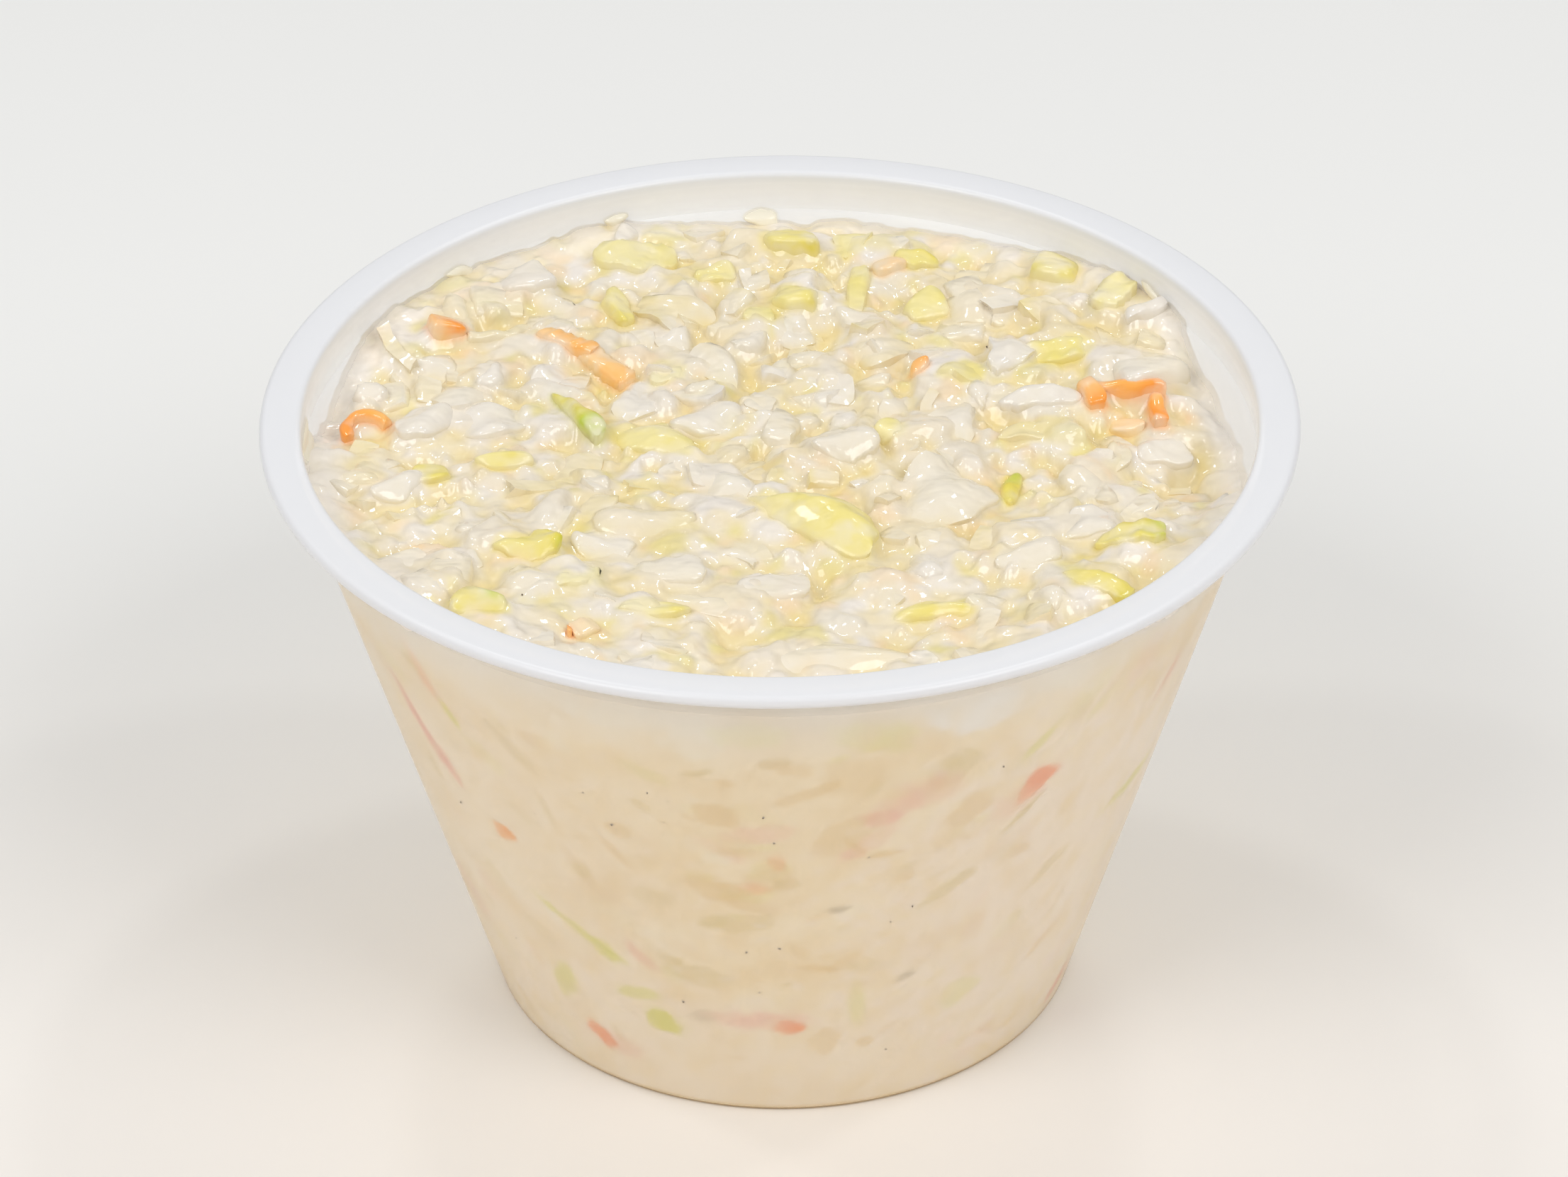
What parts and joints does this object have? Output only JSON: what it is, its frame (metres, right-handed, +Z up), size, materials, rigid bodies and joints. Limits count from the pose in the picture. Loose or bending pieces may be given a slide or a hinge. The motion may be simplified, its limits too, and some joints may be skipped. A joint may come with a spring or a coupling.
{
  "type": "coleslaw in a portion cup",
  "caption": "Creamy chopped coleslaw with flecks of carrot and green leaf, heaped to just below the rim of a small round translucent plastic portion cup.",
  "frame": {"origin": "middle of the foot, on the surface the cup stands on", "axes": "+Z up along the cup's axis, -Y the side shown in front"},
  "size_m": [0.074, 0.074, 0.0462],
  "materials": {
    "cup": "milky translucent polypropylene, smooth, soft shine",
    "coleslaw": "wet chopped cabbage in thin cream dressing",
    "carrot": "raw carrot, wet",
    "leaf": "yellow-green outer cabbage leaf, wet"
  },
  "bodies": {
    "root": {"cup": "cup", "coleslaw": "coleslaw"}
  },
  "joints": []
}
